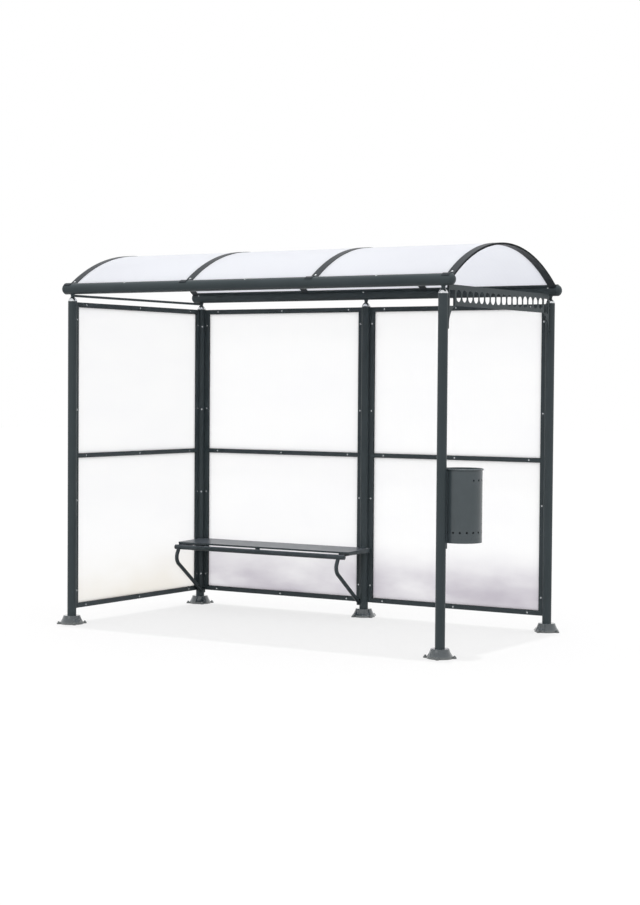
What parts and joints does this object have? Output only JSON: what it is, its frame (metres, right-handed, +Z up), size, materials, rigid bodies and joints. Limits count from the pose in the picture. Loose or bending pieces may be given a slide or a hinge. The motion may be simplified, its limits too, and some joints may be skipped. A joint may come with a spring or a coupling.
{
  "type": "bus shelter",
  "caption": "Open-fronted waiting shelter: round posts on cast feet, barrel-vaulted translucent roof, framed panel walls, slotted end frieze, bench and litter bin.",
  "frame": {"origin": "on the ground at the axis of the front left post, the centre of its foot's bolt circle", "axes": "+X along the open front to the front right post, +Y to the back wall, +Z up"},
  "size_m": [3.3883, 1.8411, 2.758],
  "materials": {
    "frame_coat": "satin",
    "cast_foot": "gloss",
    "polished_steel": "polished",
    "wall_panel": "translucent twin-wall sheet",
    "roof_sheet": "translucent twin-wall sheet",
    "bench_coat": "satin",
    "bin_coat": "satin"
  },
  "bodies": {
    "root": {"back_eave_tube": "frame_coat", "back_left_foot": "cast_foot", "back_left_lower_panel": "wall_panel", "back_left_post": "frame_coat", "back_left_rails": "frame_coat", "back_left_stiles": "frame_coat", "back_left_upper_panel": "wall_panel", "back_middle_foot": "cast_foot", "back_middle_post": "frame_coat", "back_right_foot": "cast_foot", "back_right_lower_panel": "wall_panel", "back_right_post": "frame_coat", "back_right_rails": "frame_coat", "back_right_stiles": "frame_coat", "back_right_upper_panel": "wall_panel", "beam_saddles": "frame_coat", "bench_arms": "bench_coat", "bench_front_tube": "bench_coat", "bench_legs": "bench_coat", "bench_seat": "bench_coat", "bin_bracket": "bin_coat", "eave_tube_caps": "frame_coat", "frieze_corner_pieces": "frame_coat", "frieze_plate": "frame_coat", "frieze_spacers": "frame_coat", "front_eave_tube": "frame_coat", "front_left_foot": "cast_foot", "front_left_post": "frame_coat", "front_right_foot": "cast_foot", "front_right_post": "frame_coat", "litter_bin": "bin_coat", "post_caps": "polished_steel", "roof_arch_1": "frame_coat", "roof_arch_2": "frame_coat", "roof_arch_3": "frame_coat", "roof_arch_4": "frame_coat", "roof_sheet_1": "roof_sheet", "roof_sheet_2": "roof_sheet", "roof_sheet_3": "roof_sheet", "side_lower_panel": "wall_panel", "side_rails": "frame_coat", "side_stiles": "frame_coat", "side_tie_bar": "frame_coat", "side_upper_panel": "wall_panel"}
  },
  "joints": []
}
